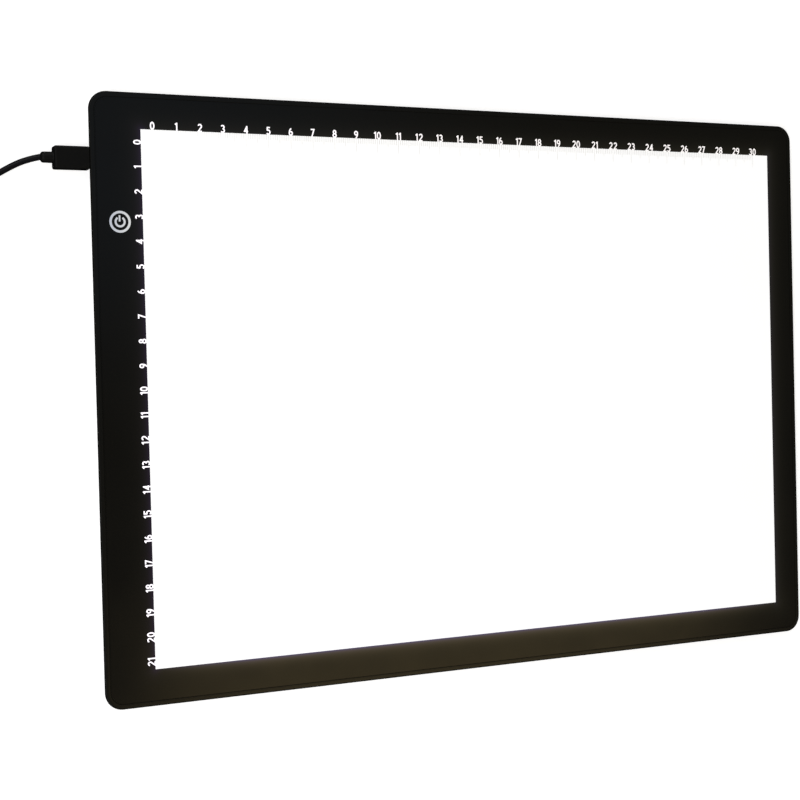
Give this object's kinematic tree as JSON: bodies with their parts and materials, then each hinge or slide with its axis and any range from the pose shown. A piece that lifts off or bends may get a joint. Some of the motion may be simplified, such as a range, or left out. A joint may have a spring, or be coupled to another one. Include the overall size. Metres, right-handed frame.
{
  "type": "led tracing pad",
  "caption": "Thin edge-lit tracing pad: flat black bezel with a centimetre scale and touch symbol round a white lit window, with a plug-in USB lead.",
  "frame": {"origin": "on the table under the rubber feet, at the middle of the pad's outline", "axes": "+Z out of the lit face, +X away from the socket side and along the long scale, +Y towards the long scale's edge"},
  "size_m": [0.4322, 0.248, 0.0132],
  "materials": {
    "tray_black": "fine satin black",
    "print_black": "semi-gloss black print",
    "opal_white": "opal acrylic, lit from behind",
    "film_white": "matt white film",
    "clear_acrylic": "polished clear acrylic",
    "board_white": "white solder mask",
    "board_green": "green solder mask",
    "chip_black": "matt moulded package",
    "capacitor_tan": "matt",
    "steel": "plated sheet steel",
    "copper": "bright copper foil",
    "insulator_black": "matt",
    "insulator_white": "matt",
    "foam_grey": "cut foam",
    "tape_black": "matt tape",
    "rubber_black": "matt",
    "lead_black": "satin moulded vinyl",
    "wire_red": "satin",
    "wire_black": "satin"
  },
  "bodies": {
    "pad": {"rear_cover": "tray_black", "front_panel": "opal_white", "printed_bezel": "print_black", "reflector_sheet": "film_white", "light_guide": "clear_acrylic", "diffuser_sheet": "film_white", "panel_tape_left": "tape_black", "panel_tape_right": "tape_black", "panel_tape_bottom": "tape_black", "panel_tape_top": "tape_black", "foot_bottom_left": "rubber_black", "foot_bottom_right": "rubber_black", "foot_top_left": "rubber_black", "foot_top_right": "rubber_black", "led_strip": "board_white", "control_board": "board_green", "board_tape": "tape_black", "controller_chip": "chip_black", "power_transistor": "chip_black", "filter_capacitor": "capacitor_tan", "current_resistor_1": "chip_black", "current_resistor_2": "chip_black", "touch_electrode": "copper", "touch_foam": "foam_grey", "side_spacer": "foam_grey", "led_lead_positive": "wire_red", "led_lead_negative": "wire_black", "usb_socket": "steel", "usb_socket_tongue": "insulator_black"},
    "lead": {"plug_body": "lead_black", "plug_relief": "lead_black", "plug_shell": "steel", "plug_tongue": "insulator_black", "usb_cord": "lead_black", "cord_coil": "lead_black", "coil_tie": "rubber_black", "cord_tail": "lead_black", "usb_a_relief": "lead_black", "usb_a_body": "lead_black", "usb_a_shell": "steel", "usb_a_tongue": "insulator_white"}
  },
  "joints": [
    {"name": "plug_slide", "type": "slide", "parent": "pad", "child": "lead", "axis": [-1, 0, 0], "range_m": [0, 0.01]}
  ]
}
